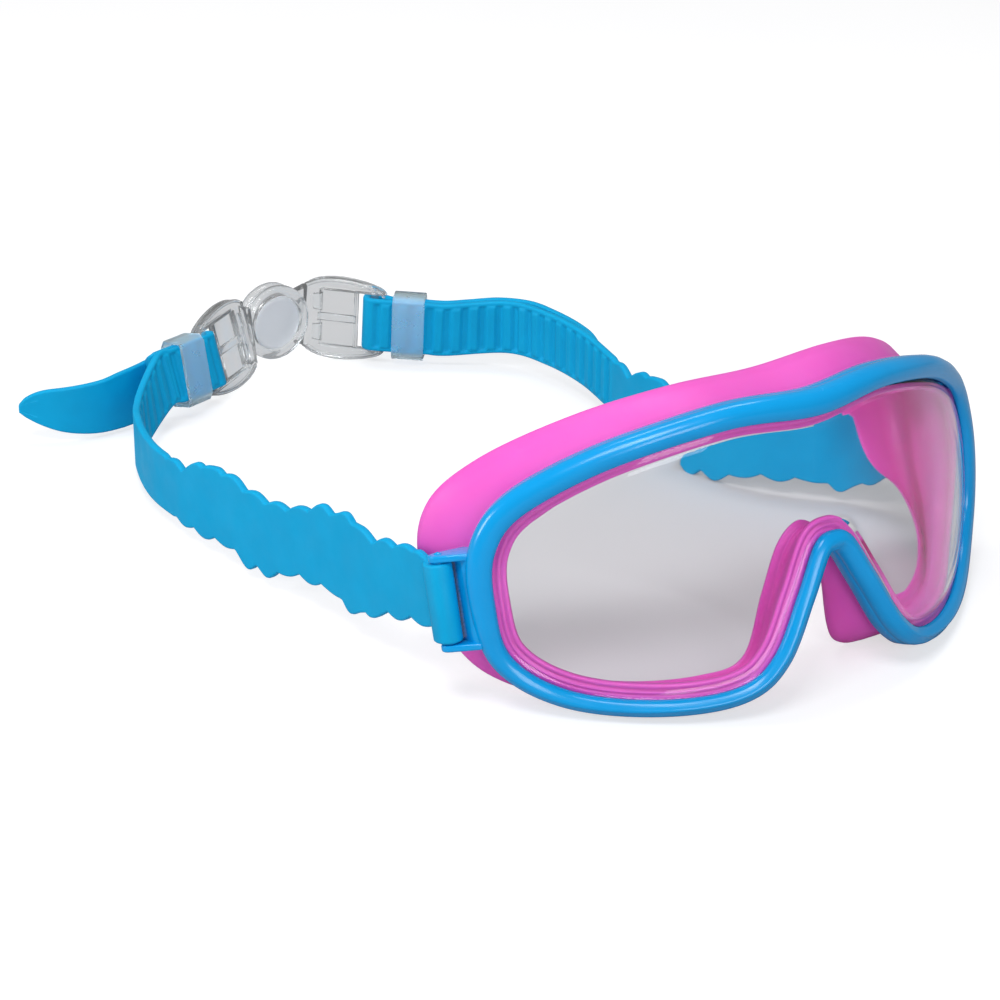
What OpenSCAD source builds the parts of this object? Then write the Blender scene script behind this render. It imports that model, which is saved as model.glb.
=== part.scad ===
// Wide-view swim mask with two moulded straps and a two-part rear clasp.
// The lens faces -Y, the strap loop runs back along +Y, and the wearer's left is +X.

/* [Mask] */
// Thickness of the clear lens
lens_t = 2; // [1.5:0.1:2.5]
// Depth of the rim behind its front edge
rim_depth = 6.6; // [5.5:0.1:7.5]
// Height of the rim's crown in front of its inner edge
rim_crown = 1.5; // [1.3:0.1:2]
// Depth of the lens face behind the rim's inner edge
lens_set = 1.2; // [0.8:0.1:1.5]
// Width of the skirt's lip behind the lens
lip_w = 2.8; // [1.5:0.1:3.5]
// Wall of the skirt
skirt_t = 1.5; // [1:0.1:2]

/* [Straps] */
// Thickness of the strap between its ribs
strap_t = 1.9; // [1.5:0.1:2.2]
// Height of the ribs
rib_h = 0.4; // [0.2:0.05:0.5]
// Distance from one rib to the next
rib_pitch = 5; // [4:0.5:6]
// Half width of the ribbed part
rib_half_w = 7.7; // [6.5:0.1:7.8]
// Depth of the scallops along the wide part
scallop_h = 1.4; // [0:0.1:1.6]
// Length of one scallop
scallop_pitch = 9; // [8:0.5:12]
// Half height of the loop that holds the strap to its lug bar
end_half_h = 9.1; // [8:0.1:9.4]

/* [Clasp] */
// Radius of the round button
button_r = 7.7; // [6:0.1:7.8]
// Outside radius of the ring round the button
ring_r = 10.6; // [10:0.1:10.8]
// Thickness of each clasp half
clasp_t = 3.1; // [2.5:0.1:3.2]
// Radius of the bar that the strap folds round
bar_r = 1.1; // [0.8:0.05:1.2]
// Length of each strap keeper
keeper_len = 9; // [7:0.5:10]

/* [Hidden] */

// Moves the model from the lens centre to the middle of its footprint
origin_shift = [4.57, -118.25, 35.62];

rim_blue = [0.0, 0.57, 0.83];
strap_blue = [0.0, 0.6, 0.83];
skirt_pink = [0.93, 0.42, 0.82];
clear_tint = [0.85, 0.9, 0.95, 0.45];
frost_tint = [0.65, 0.78, 0.9, 0.8];

// Curves

// One point on a smooth curve through a, b, c and d, between b and c
function spline(a, b, c, d, t) =
    0.5 * (2 * b + (c - a) * t + (2 * a - 5 * b + 4 * c - d) * t * t
           + (3 * b - a - 3 * c + d) * t * t * t);
function closed_curve(p, steps) = let (n = len(p))
    [for (i = [0:n - 1], j = [0:steps - 1])
        spline(p[(i + n - 1) % n], p[i], p[(i + 1) % n], p[(i + 2) % n], j / steps)];
function open_curve(p, steps) = let (n = len(p))
    [for (i = [0:n - 2], j = [0:steps - 1])
        spline(i == 0 ? 2 * p[0] - p[1] : p[i - 1], p[i], p[i + 1],
               i == n - 2 ? 2 * p[n - 1] - p[n - 2] : p[i + 2], j / steps),
     p[n - 1]];
function unit(v) = v / norm(v);
function mix(a, b, t) = a + (b - a) * t;
function clamp(t) = min(1, max(0, t));

// Solids from rings of points

function quad(a, b, c, d) = [[a, b, c], [a, c, d]];
// Side faces of a tube with rings of m points, closed on itself or left open
function side_faces(n, m, closed) =
    [for (i = [0:(closed ? n - 1 : n - 2)], j = [0:m - 1])
        let (p = i * m, q = ((i + 1) % n) * m, k = (j + 1) % m)
        each quad(p + j, p + k, q + k, q + j)];
function cap_faces(first, m, flip) =
    [for (j = [1:m - 2]) flip ? [first, first + j, first + j + 1] : [first, first + j + 1, first + j]];
module ring_solid(rings) {
    m = len(rings[0]);
    polyhedron([for (r = rings) each r], side_faces(len(rings), m, true), convexity = 10);
}
module rod_solid(rings) {
    n = len(rings);
    m = len(rings[0]);
    polyhedron([for (r = rings) each r],
               concat(side_faces(n, m, false), cap_faces(0, m, false), cap_faces((n - 1) * m, m, true)),
               convexity = 10);
}

// Mask outline

// Lens surface: wrapped round the face, leaning back at the top and swept back at its lower corners
corner_sweep = 1.3e-6;
function lens_y(x, z) = 0.0076 * x * x - 0.9e-7 * pow(x, 4) + 0.263 * z - 0.00034 * z * z
    + corner_sweep * pow(x * min(z, 0), 2);
function lens_point(x, z) = [x, lens_y(x, z), z];
function lens_front(x, z) = unit([
    0.0152 * x - 3.6e-7 * pow(x, 3) + 2 * corner_sweep * x * pow(min(z, 0), 2), -1,
    0.263 - 0.00068 * z + 2 * corner_sweep * x * x * min(z, 0)]);

// Half outline from the top centre round the temple to the nose arch.
// Each row: lens x, lens z, rim width, skirt back edge x, y, z, width of the face seal there
half_rim = [
    [0, 28.5, 6.2, 0, 32, 31.8, 8],
    [22, 29, 5.6, 22, 33.5, 32, 9],
    [45, 22.5, 5.6, 42.5, 42, 26.6, 13],
    [62, 12, 6, 60, 53, 16.6, 17],
    [68.5, 2, 6.2, 70, 59, 5.5, 18],
    [69.4, -10.2, 5.9, 72.5, 58, -9, 16],
    [67.1, -21.8, 5.2, 68.5, 48, -27, 11],
    [58, -28.6, 4.6, 60, 35.5, -33.5, 5],
    [43, -29.9, 4.2, 43, 21, -34, 3],
    [27, -27.5, 4.2, 24, 15, -35.4, 3],
    [18.5, -21.5, 4.4, 11.5, 13, -32, 3],
    [11, -9, 4.6, 7, 12.5, -16, 2.6],
    [5, 1, 4.8, 4, 12, -5, 2.4],
    [0, 3.1, 5, 0, 12, -1.5, 2.4]];
last_row = len(half_rim) - 1;
function other_side(r) = [-r[0], r[1], r[2], -r[3], r[4], r[5], r[6]];
rim_rows = closed_curve(concat(half_rim, [for (i = [last_row - 1:-1:1]) other_side(half_rim[i])]), 3);
rim_n = len(rim_rows);

// Each station of the rim: point, outward direction, front direction, rim width, skirt back edge,
// seal width
rim = [for (i = [0:rim_n - 1])
    let (r = rim_rows[i], a = rim_rows[(i + rim_n - 1) % rim_n], b = rim_rows[(i + 1) % rim_n],
         along = unit(lens_point(b[0], b[1]) - lens_point(a[0], a[1])),
         front = lens_front(r[0], r[1]), out = unit(cross(front, along)))
    [lens_point(r[0], r[1]), out, front, r[2], [r[3], r[4], r[5]], r[6]]];
function at_rim(s, out, front) = s[0] + out * s[1] + front * s[2];

lens_tuck = 0.6;
lens_gap = 0.15;
seat_gap = 0.3;

// Profile of the rim: outward and forward of the rim's inner edge
function rim_profile(w) = [
    [0, lens_gap - lens_set], [0, -0.3], [0.5, 0.6], [1.7, 1.2], [w * 0.5, rim_crown], [w - 1.7, 1],
    [w - 0.5, -0.1], [w, -1.6], [w, 3 - rim_depth], [w - 0.5, 0.8 - rim_depth], [w - 1.6, -rim_depth],
    [1.9, -rim_depth], [1.4, 0.6 - rim_depth], [1.4, lens_gap - lens_set]];

// Lugs: two ears on each side of the rim and a bar between them

bar_at = [-75.9, 42.8, -10.6];
bar_lean = 14.7;
lug_bar_r = 1.3;
lug_clear = 0.08;
ear_t = 1.6;
ear_gap = 0.35;

module at_lug_bar() {
    translate(bar_at) rotate([-bar_lean, 0, 0]) children();
}
module lug() {
    ear_z = end_half_h + ear_gap;
    at_lug_bar() {
        cylinder(r = lug_bar_r, h = 2 * (ear_z + ear_t), center = true, $fn = 48);
        linear_extrude(2 * ear_z + 1, center = true)
            polygon([[3.6, -6.2], [8.3, -7.4], [8.5, -3.6], [7.2, 0.6], [4, 1], [3.6, 0.6]]);
        for (z = [-ear_z - ear_t, ear_z])
            translate([0, 0, z]) linear_extrude(ear_t) {
                circle(r = 2.3, $fn = 48);
                polygon([[-2.2, 0.7], [-1.6, -1.6], [3.2, -6.6], [8.3, -7.6], [8.5, -3.6], [7.2, 0.6],
                         [0.6, 2.2]]);
            }
    }
}
module frame() {
    color(rim_blue) {
        ring_solid([for (s = rim) [for (p = rim_profile(s[3])) at_rim(s, p[0], p[1])]]);
        lug();
        mirror([1, 0, 0]) lug();
    }
}

// Lens: strips between the upper and the lower edge

lens_rows = 4;
lens_half = floor(rim_n / 4);
lens_m = lens_rows + 1;
function lens_edge(i) = let (s = rim[(i + rim_n) % rim_n], p = at_rim(s, lens_tuck, 0)) [p[0], p[2]];
function lens_sheet(depth) =
    [for (c = [-lens_half:lens_half], v = [0:lens_rows])
        let (p = mix(lens_edge(c), lens_edge(rim_n / 2 - c), v / lens_rows))
        lens_point(p[0], p[1]) - (lens_set + depth) * lens_front(p[0], p[1])];
module lens() {
    n = 2 * lens_half + 1;
    count = n * lens_m;
    rows = [for (i = [0:n - 2], j = [0:lens_rows - 1]) [i, j]];
    front_faces = [for (r = rows) let (a = r[0] * lens_m + r[1], b = a + lens_m)
        each quad(a, b, b + 1, a + 1)];
    back_faces = [for (f = front_faces) [f[0] + count, f[2] + count, f[1] + count]];
    edge = concat([for (i = [0:n - 1]) i * lens_m],
                  [for (j = [1:lens_rows]) (n - 1) * lens_m + j],
                  [for (i = [n - 2:-1:0]) i * lens_m + lens_rows],
                  [for (j = [lens_rows - 1:-1:1]) j]);
    e = len(edge);
    wall = [for (k = [0:e - 1]) let (a = edge[k], b = edge[(k + 1) % e])
        each quad(b, a, a + count, b + count)];
    color(clear_tint)
        polyhedron(concat(lens_sheet(0), lens_sheet(lens_t)), concat(front_faces, back_faces, wall),
                   convexity = 8);
}

// Skirt: a lip behind the lens, a wall that flares to the face and a seal turned inwards

function skirt_ring(s) =
    let (flat = unit([s[1][0], 0, s[1][2]]), edge = s[4], lip = -lens_set - lens_t - seat_gap,
         back = -0.6 - rim_depth, start = at_rim(s, 0.7, back))
    [at_rim(s, -lip_w, lip),
     at_rim(s, 0.7, lip),
     start,
     mix(start, edge, 0.35) + 0.3 * flat,
     mix(start, edge, 0.75) + 0.7 * flat,
     edge,
     edge - 1.2 * flat + [0, 1.1, 0],
     edge - s[5] * flat + [0, 1.9, 0],
     edge - s[5] * flat + [0, 0.9, 0],
     edge - 2.2 * flat - [0, 0.9, 0],
     mix(start, edge, 0.75) + (0.7 - skirt_t) * flat,
     mix(start, edge, 0.35) + (0.3 - skirt_t) * flat,
     at_rim(s, 0.7 - skirt_t, back),
     at_rim(s, 0.7 - skirt_t, lip - 1.5),
     at_rim(s, -lip_w, lip - 1.4)];
module skirt() {
    color(skirt_pink) ring_solid([for (s = rim) skirt_ring(s)]);
}

// Clasp: each half is drawn as the one on the wearer's right and mirrored for the other

clasp_at = [-4.9, 237.7, -21.3];
hub_len = 11;
wing_bar = 19.8;
stop_at = 14.6;
half_gap = 0.35;
front_y = -0.3 - clasp_t / 2;
back_y = half_gap - 0.3 + clasp_t / 2;
// Each half: centre, turn and droop of the hub, bend, droop and lean of the wing, offset of the plate
// from the clasp plane
right_half = [clasp_at, 4, 6, 25, 3, 12, front_y];
left_half = [[-clasp_at[0], clasp_at[1], clasp_at[2]], -4, 7, 48, 3, 0, back_y];

function heading(a) = [-cos(a), -sin(a), 0];
function sideways(a) = [-sin(a), cos(a), 0];
function drooped(a, droop) = cos(droop) * heading(a) - [0, 0, sin(droop)];
function wing_angle(h) = h[1] + h[3];
function wing_upright(h) = sin(h[4]) * heading(wing_angle(h)) + [0, 0, cos(h[4])];
function bar_up(h) = cos(h[5]) * wing_upright(h) + sin(h[5]) * sideways(wing_angle(h));
function bar_centre(h) = h[0] + hub_len * drooped(h[1], h[2]) + wing_bar * drooped(wing_angle(h), h[4])
    + h[6] * (cos(h[5]) * sideways(wing_angle(h)) - sin(h[5]) * wing_upright(h));

module in_hub(h) {
    translate(h[0]) rotate([0, -h[2], h[1]]) translate([0, h[6], 0]) children();
}
module in_wing(h) {
    translate(h[0] + hub_len * drooped(h[1], h[2])) rotate([0, 0, wing_angle(h)]) rotate([0, -h[4], 0])
        rotate([-h[5], 0, 0]) translate([0, h[6], 0]) children();
}
// A plate of thickness t, drawn in x and z and centred on y = 0
module plate(t) {
    translate([0, t / 2, 0]) rotate([90, 0, 0]) linear_extrude(t) children();
}
wing_half = [[0.6, 9.2], [-4, 11.4], [-10, 12.1], [-16, 11.5], [-20, 10.5], [-22, 9.6], [-22.8, 8.6]];
module wing_shape() {
    top = open_curve(wing_half, 3);
    difference() {
        polygon(concat(top, [for (i = [len(top) - 1:-1:0]) [top[i][0], -top[i][1]]]));
        translate([-25, -8.3]) square([20.5, 16.6]);
    }
}
module wing(h) {
    in_wing(h) {
        plate(clasp_t) wing_shape();
        translate([-wing_bar, 0, 0]) cylinder(r = bar_r, h = 17, center = true, $fn = 48);
        plate(1.6) {
            translate([-stop_at, -1.1]) square([stop_at - 4, 2.2]);
            translate([-stop_at - 0.6, -8.6]) square([1.2, 17.2]);
        }
        plate(0.8) translate([-stop_at, -8.6]) square([stop_at - 4, 17.2]);
    }
}
module hub_web(h) {
    in_hub(h) plate(clasp_t) translate([-hub_len - 0.6, -8.6]) square([3.2, 17.2]);
}
module hub_disc(r, t) {
    rotate([90, 0, 0]) cylinder(r = r, h = t, center = true, $fn = 96);
}
module clasp_front_half() {
    color(clear_tint) {
        difference() {
            union() {
                in_hub(right_half) hub_disc(ring_r, clasp_t);
                hub_web(right_half);
            }
            in_hub(right_half) hub_disc(button_r + 0.2, clasp_t + 2);
        }
        wing(right_half);
    }
}
module clasp_button() {
    color(frost_tint) in_hub(right_half) hub_disc(button_r, clasp_t - 0.6);
}
module clasp_back_half() {
    color(clear_tint) mirror([1, 0, 0]) {
        in_hub(left_half) hub_disc(ring_r - 0.2, clasp_t);
        hub_web(left_half);
        wing(left_half);
    }
}

// Straps: drawn on the wearer's right and mirrored for the other side

fold_gap = 0.3;
fold_r = bar_r + fold_gap + strap_t / 2;
layer_gap = 0.4;
layer_step = strap_t + layer_gap;
keeper_from = 5.6;
straight_len = 21;

// Route of each strap in plan from the lug bar to the straight part at the clasp, with its height
right_route = [
    bar_at, [-76, 50, -9.6], [-76.1, 59, -11.3], [-76.5, 75, -14.6], [-77.5, 95, -17.8],
    [-79, 115, -20.2], [-80.5, 135, -21.7], [-81.5, 151, -22.8], [-80, 169, -24],
    [-74.5, 187, -25], [-66.5, 202, -25.8]];
left_route = [
    bar_at, [-76, 50, -9.8], [-76.6, 57.5, -12], [-75.8, 65, -15.2], [-71, 74, -18.8],
    [-63, 83, -21.6], [-55.5, 92.5, -22.8], [-50, 104, -23.2], [-47, 120, -24.6], [-47.6, 137, -24.8],
    [-50.4, 153, -23.8], [-53, 169, -23], [-53, 185, -22.8], [-49, 199, -22.8]];
// Heading of each strap's straight part as it reaches the clasp
right_end_dir = unit([0.94, 0.33, -0.03]);
left_end_dir = unit([0.77, 0.64, 0.04]);
// Route of the free tail on the wearer's right, after the keeper
right_tail = [[-51, 224, -26.2], [-59, 222.2, -26.6], [-68, 221.2, -27], [-77.5, 223.6, -27.2],
              [-87.4, 230.2, -27.4]];

function strap_out(h, dir) = -unit(cross(dir, bar_up(h)));
function main_end(h, dir) = bar_centre(h) - fold_r * strap_out(h, dir);
function main_route(route, h, dir) =
    open_curve(concat(route, [for (d = [straight_len, 15, 8, 0]) main_end(h, dir) - d * dir]), 6);
// Running length along a list of points
function lengths(p, i = 0, sum = 0) = i >= len(p) - 1 ? [sum]
    : concat([sum], lengths(p, i + 1, sum + norm(p[i + 1] - p[i])));
function along(p, at, s) = [for (k = [0:2]) lookup(s, [for (i = [0:len(p) - 1]) [at[i], p[i][k]]])];

// Height of the top and bottom edges off the middle of the strap, by distance from the lug bar
top_edge = [[0, 8], [5, 7.7], [9, 8.2], [14, 8], [22, 8.2], [28, 7.8], [34, 9.6], [39, 12], [44, 11.4],
            [49, 12.2], [55, 10.6], [61, 9.2], [70, 8.3], [80, 8.9], [86, 10.2], [92, 11.1],
            [96, 10.4], [101, 10.6], [105, 8.6], [109, 7.1], [113, 7.2], [120, rib_half_w]];
bottom_edge = [[0, 8.6], [8, 9.2], [14, 9.1], [20, 9.7], [26, 9.9], [31, 11.8], [35, 11.4], [39, 12.2],
               [43, 9.8], [47, 8.4], [52, 8.6], [58, 8.2], [64, 8.6], [69, 10.2], [73, 11.3], [77, 10.6],
               [81, 11.4], [86, 9.2], [92, 8.2], [98, 8.7], [104, 8.4], [112, 7.9], [120, rib_half_w]];
scallop_from = 10;
scallop_to = 118;
function scallop(s) = s < scallop_from || s > scallop_to ? 0
    : scallop_h * (abs(sin(180 * (s - scallop_from) / scallop_pitch)) - 0.5);
// The same for the tail, by distance from its tip
tail_top = [[0, 2.6], [2, 4.6], [6, 6.3], [12, 7], [28, rib_half_w]];
tail_bottom = [[0, -0.4], [2, 1.2], [6, 3.4], [12, 5.6], [20, 7.1], [28, rib_half_w]];
function rib(s) = (floor(s / (rib_pitch / 2)) % 2) * rib_h;

// A section of the strap across its width: on the ribbed side and on the smooth side of its middle
function strap_ring(p, n, w, top, bottom, rib_side, smooth_side) =
    let (c = 0.5)
    [for (q = [[rib_side, top - c], [rib_side - c, top], [c - smooth_side, top],
               [-smooth_side, top - c], [-smooth_side, c - bottom], [c - smooth_side, -bottom],
               [rib_side - c, -bottom], [rib_side, c - bottom]])
        p + q[0] * n + q[1] * w];

lean_up = [0, sin(bar_lean), cos(bar_lean)];
// Stations of a strap: point, width direction, top edge, bottom edge, rib height
function main_stations(path, at, h) =
    let (total = at[len(at) - 1], step = rib_pitch / 2, n = floor(total / step))
    [for (i = [1:n]) let (s = i * step, p = along(path, at, s))
        [p, s < total / 2 ? mix(lean_up, [0, 0, 1], clamp(s / 40))
                          : mix([0, 0, 1], bar_up(h), clamp((s - total + 45) / 25)),
         lookup(s, top_edge) + scallop(s), lookup(s, bottom_edge) + scallop(s + scallop_pitch / 2),
         s < scallop_to ? 0 : rib(s + 0.1)]];
function fold_stations(h, dir) =
    let (out = strap_out(h, dir), c = bar_centre(h))
    [for (a = [0:22.5:180])
        [c + fold_r * (dir * sin(a) - out * cos(a)), bar_up(h), rib_half_w, rib_half_w, 0]];
function tail_stations(tail, h) =
    let (at = lengths(tail), total = at[len(at) - 1], step = rib_pitch / 2, n = floor(total / step))
    [for (i = [1:n]) let (s = i * total / n, left = total - s, p = along(tail, at, s),
                         plain = left < 32)
        [p, mix(bar_up(h), [0, 0, 1], clamp((s - 24) / 16)), lookup(left, tail_top),
         lookup(left, tail_bottom), plain ? 0 : rib(s + 0.1)]];

module strap(path, h, dir, tail) {
    at = lengths(path);
    all = concat(main_stations(path, at, h), fold_stations(h, dir), tail_stations(tail, h));
    n = len(all);
    dirs = [for (i = [0:n - 1]) unit(all[min(n - 1, i + 1)][0] - all[max(0, i - 1)][0])];
    rings = [for (i = [0:n - 1])
        strap_ring(all[i][0], unit(cross(dirs[i], all[i][1])), unit(all[i][1]), all[i][2], all[i][3],
                   strap_t / 2 + all[i][4], strap_t / 2)];
    difference() {
        union() {
            rod_solid(rings);
            strap_loop(path);
        }
        at_lug_bar() cylinder(r = lug_bar_r + lug_clear, h = 60, center = true, $fn = 48);
    }
}
// Thick end of the strap that is moulded round the lug bar
module strap_loop(path) {
    turn = atan2(path[6][0] - path[0][0], path[6][1] - path[0][1]);
    at_lug_bar() rotate([0, 0, -turn])
        translate([0, 0, -end_half_h]) linear_extrude(2 * end_half_h) {
            circle(r = 2.9, $fn = 48);
            polygon([[-2.9, 0], [2.9, 0], [2.5, 2.6], [1.2, 5.2], [-1.2, 5.2], [-2.6, 2.6]]);
        }
}

right_path = main_route(right_route, right_half, right_end_dir);
left_path = main_route(left_route, left_half, left_end_dir);
// The tail starts behind the straight part and lies against it as far as the keeper
function tail_start(h, dir) = let (out = strap_out(h, dir), e = main_end(h, dir))
    [for (d = [3, 6, 13, 20]) e - d * dir + out * (d < 5 ? (layer_step + 2 * fold_r) / 2 : layer_step)];
// A tail that lies against the strap for its whole length
function laid_tail(path, h, dir) =
    let (at = lengths(path), total = at[len(at) - 1])
    concat(tail_start(h, dir),
           [for (d = [27:8:75])
               let (p = along(path, at, total - d), q = along(path, at, total - d - 1),
                    out = unit(cross(unit(q - p), [0, 0, 1])))
               p + (layer_step + 0.3) * out]);

module strap_right() {
    color(strap_blue)
        strap(right_path, right_half, right_end_dir,
              open_curve(concat(tail_start(right_half, right_end_dir), right_tail), 4));
}
module strap_left() {
    color(strap_blue) mirror([1, 0, 0])
        strap(left_path, left_half, left_end_dir,
              open_curve(laid_tail(left_path, left_half, left_end_dir), 4));
}

// Keepers: sleeves that hold each tail against its strap

keeper_wall = 1;
keeper_clear = 0.5;
function cut_box(x, z, c) = [[x - c, z], [x, z - c], [x, c - z], [x - c, -z], [c - x, -z], [-x, c - z],
                             [-x, z - c], [c - x, z]];
module keeper(h, dir) {
    out = strap_out(h, dir);
    up = cross(dir, out);
    deep = (strap_t + layer_step) / 2 + rib_h + keeper_clear;
    tall = rib_half_w + 0.5;
    at = main_end(h, dir) - (keeper_from + keeper_len / 2) * dir + out * layer_step / 2;
    multmatrix([[out[0], up[0], dir[0], at[0]], [out[1], up[1], dir[1], at[1]],
                [out[2], up[2], dir[2], at[2]], [0, 0, 0, 1]])
        translate([0, 0, -keeper_len / 2]) linear_extrude(keeper_len) difference() {
            polygon(cut_box(deep + keeper_wall, tall + keeper_wall, 1.6));
            polygon(cut_box(deep, tall, 0.3));
        }
}
module keeper_right() {
    color(frost_tint) keeper(right_half, right_end_dir);
}
module keeper_left() {
    color(frost_tint) mirror([1, 0, 0]) keeper(left_half, left_end_dir);
}

translate(origin_shift) {
    frame();
    lens();
    skirt();
    strap_right();
    strap_left();
    keeper_right();
    keeper_left();
    clasp_front_half();
    clasp_button();
    clasp_back_half();
}
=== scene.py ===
"""Looks of the wide-view swim mask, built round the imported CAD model.

Lengths below are in millimetres, measured from the middle of the lens, as in the CAD model.
Pieces on the wearer's right (-X) are built in place; those on the left are built there and mirrored.
"""

import math

import bmesh
import bpy
import numpy as np
from mathutils import Matrix, Vector


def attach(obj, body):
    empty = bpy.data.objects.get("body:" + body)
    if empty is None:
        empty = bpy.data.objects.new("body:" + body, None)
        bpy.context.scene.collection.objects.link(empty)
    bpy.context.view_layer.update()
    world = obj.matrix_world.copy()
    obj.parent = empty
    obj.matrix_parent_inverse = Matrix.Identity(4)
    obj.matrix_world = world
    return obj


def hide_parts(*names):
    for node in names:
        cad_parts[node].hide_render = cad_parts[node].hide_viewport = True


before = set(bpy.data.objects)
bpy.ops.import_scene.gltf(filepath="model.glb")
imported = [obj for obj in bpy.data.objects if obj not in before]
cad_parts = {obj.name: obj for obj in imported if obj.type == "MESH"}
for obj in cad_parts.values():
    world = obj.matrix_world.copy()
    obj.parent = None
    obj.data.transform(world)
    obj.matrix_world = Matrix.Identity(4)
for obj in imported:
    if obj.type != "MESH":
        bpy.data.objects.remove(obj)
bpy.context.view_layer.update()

MM = 0.001

# Where the middle of the lens stands in the row frame
ORIGIN = np.array([4.57, -118.25, 35.62])

# Mask
LENS_T = 2.0
LENS_SET = 1.2
LENS_GAP = 0.15
LENS_TUCK = 0.6
LENS_STEP = 0.45
RIM_DEPTH = 6.6
RIM_CROWN = 1.5
LIP_W = 2.8
SKIRT_T = 1.5
WALL_OUT = 0.7
WALL_BEHIND = 0.6
SEAT_GAP = 0.3
WRAP = 0.0076
WRAP_EASE = 0.9e-7
LEAN = 0.263
LEAN_EASE = 0.00034
CORNER_SWEEP = 1.3e-6
RIM_STEPS = 12

# Straps
STRAP_T = 1.9
RIB_H = 0.4
GROOVE_H = 0.45
RIB_PITCH = 5.0
RIB_HALF_W = 7.7
SCALLOP_H = 1.4
SCALLOP_PITCH = 9.0
SCALLOP_FROM = 10.0
SCALLOP_TO = 118.0
END_HALF_H = 9.1
STEP = RIB_PITCH / 12

# Lugs and clasp
BAR_AT = np.array([-75.9, 42.8, -10.6])
BAR_LEAN = 14.7
LUG_BAR_R = 1.3
EAR_T = 1.6
EAR_GAP = 0.35
CLASP_T = 3.1
BUTTON_R = 7.7
RING_R = 10.6
BAR_R = 1.1
HUB_LEN = 11.0
WING_BAR = 19.8
STOP_AT = 14.6
PARTING_Y = -0.3
HALF_GAP = 0.35
FOLD_GAP = 0.3
FOLD_R = BAR_R + FOLD_GAP + STRAP_T / 2
LAYER_STEP = STRAP_T + 0.4
KEEPER_LEN = 9.0
KEEPER_FROM = 5.6
KEEPER_CLEAR = 0.5
KEEPER_WALL = 1.0
STRAIGHT_LEN = 21.0

# Half outline from the top centre round the temple to the nose arch.
# Each row: lens x, lens z, rim width, skirt back edge x, y, z, width of the face seal
HALF_RIM = [
    (0, 28.5, 6.2, 0, 32, 31.8, 8),
    (22, 29, 5.6, 22, 33.5, 32, 9),
    (45, 22.5, 5.6, 42.5, 42, 26.6, 13),
    (62, 12, 6, 60, 53, 16.6, 17),
    (68.5, 2, 6.2, 70, 59, 5.5, 18),
    (69.4, -10.2, 5.9, 72.5, 58, -9, 16),
    (67.1, -21.8, 5.2, 68.5, 48, -27, 11),
    (58, -28.6, 4.6, 60, 35.5, -33.5, 5),
    (43, -29.9, 4.2, 43, 21, -34, 3),
    (27, -27.5, 4.2, 24, 15, -35.4, 3),
    (18.5, -21.5, 4.4, 11.5, 13, -32, 3),
    (11, -9, 4.6, 7, 12.5, -16, 2.6),
    (5, 1, 4.8, 4, 12, -5, 2.4),
    (0, 3.1, 5, 0, 12, -1.5, 2.4),
]

RIGHT_ROUTE = [
    (-75.9, 42.8, -10.6), (-76, 50, -9.6), (-76.1, 59, -11.3), (-76.5, 75, -14.6), (-77.5, 95, -17.8),
    (-79, 115, -20.2), (-80.5, 135, -21.7), (-81.5, 151, -22.8), (-80, 169, -24),
    (-74.5, 187, -25), (-66.5, 202, -25.8),
]
LEFT_ROUTE = [
    (-75.9, 42.8, -10.6), (-76, 50, -9.8), (-76.6, 57.5, -12), (-75.8, 65, -15.2), (-71, 74, -18.8),
    (-63, 83, -21.6), (-55.5, 92.5, -22.8), (-50, 104, -23.2), (-47, 120, -24.6), (-47.6, 137, -24.8),
    (-50.4, 153, -23.8), (-53, 169, -23), (-53, 185, -22.8), (-49, 199, -22.8),
]
RIGHT_TAIL = [(-51, 224, -26.2), (-59, 222.2, -26.6), (-68, 221.2, -27), (-77.5, 223.6, -27.2),
              (-87.4, 230.2, -27.4)]
TOP_EDGE = [(0, 8), (5, 7.7), (9, 8.2), (14, 8), (22, 8.2), (28, 7.8), (34, 9.6), (39, 12), (44, 11.4),
            (49, 12.2), (55, 10.6), (61, 9.2), (70, 8.3), (80, 8.9), (86, 10.2), (92, 11.1), (96, 10.4),
            (101, 10.6), (105, 8.6), (109, 7.1), (113, 7.2), (120, RIB_HALF_W)]
BOTTOM_EDGE = [(0, 8.6), (8, 9.2), (14, 9.1), (20, 9.7), (26, 9.9), (31, 11.8), (35, 11.4), (39, 12.2),
               (43, 9.8), (47, 8.4), (52, 8.6), (58, 8.2), (64, 8.6), (69, 10.2), (73, 11.3),
               (77, 10.6), (81, 11.4), (86, 9.2), (92, 8.2), (98, 8.7), (104, 8.4), (112, 7.9),
               (120, RIB_HALF_W)]
TAIL_TOP = [(0, 2.6), (2, 4.6), (6, 6.3), (12, 7), (28, RIB_HALF_W)]
TAIL_BOTTOM = [(0, -0.4), (2, 1.2), (6, 3.4), (12, 5.6), (20, 7.1), (28, RIB_HALF_W)]


# Geometry helpers

def unit(v):
    v = np.asarray(v, float)
    return v / np.linalg.norm(v, axis=-1, keepdims=v.ndim > 1)


def spline(a, b, c, d, t):
    """A Catmull-Rom curve from b to c."""
    return 0.5 * (2 * b + (c - a) * t + (2 * a - 5 * b + 4 * c - d) * t * t
                  + (3 * b - a - 3 * c + d) * t ** 3)


def closed_curve(points, steps):
    p = np.asarray(points, float)
    n = len(p)
    return np.array([spline(p[i - 1], p[i], p[(i + 1) % n], p[(i + 2) % n], j / steps)
                     for i in range(n) for j in range(steps)])


def open_curve(points, steps):
    p = np.asarray(points, float)
    p = np.vstack([2 * p[0] - p[1], p, 2 * p[-1] - p[-2]])
    rows = [spline(p[i], p[i + 1], p[i + 2], p[i + 3], j / steps)
            for i in range(len(p) - 3) for j in range(steps)]
    return np.array(rows + [p[-2]])


def smoothstep(x):
    x = np.clip(x, 0, 1)
    return x * x * (3 - 2 * x)


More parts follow.
